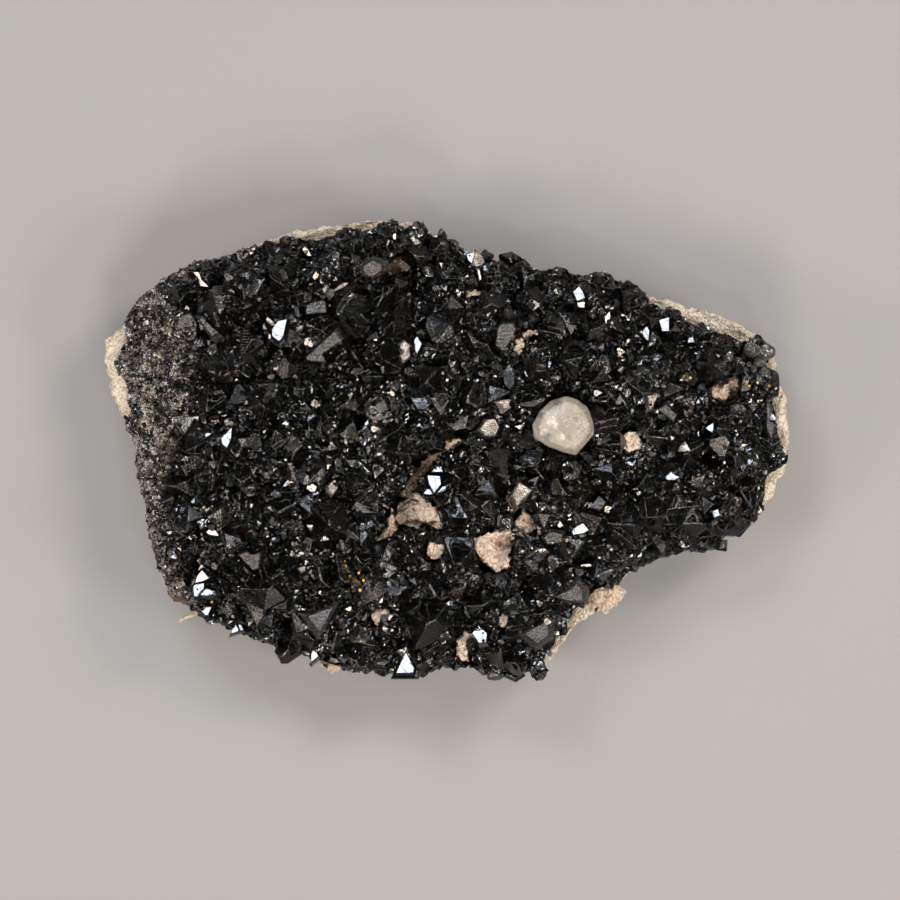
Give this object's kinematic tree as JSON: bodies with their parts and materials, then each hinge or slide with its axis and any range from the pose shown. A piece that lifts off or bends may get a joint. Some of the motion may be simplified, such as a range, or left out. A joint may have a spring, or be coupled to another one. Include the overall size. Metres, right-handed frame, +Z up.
{
  "type": "sphalerite specimen",
  "caption": "Loose mineral specimen: a pale rock plate whose top and edge carry a crust of glassy black sphalerite crystals, with a rounded cream calcite crystal on it.",
  "frame": {"origin": "under the middle of the specimen, on the surface that its flat back rests on", "axes": "+X along the length, towards the end with the calcite; +Y across the plate, towards the side with the long straight rim of bare rock; +Z up, out of the crystal crust"},
  "size_m": [0.1364, 0.0934, 0.0335],
  "materials": {
    "rock": "matt, granular broken rock, pale buff to pinkish beige",
    "sphalerite": "black crystal faces with a resinous to glassy shine",
    "calcite": "milky cream crystal, slightly see-through, satin with etched faces"
  },
  "bodies": {
    "root": {"matrix": "rock", "sphalerite_crust": "sphalerite", "calcite_crystal": "calcite"}
  },
  "joints": []
}
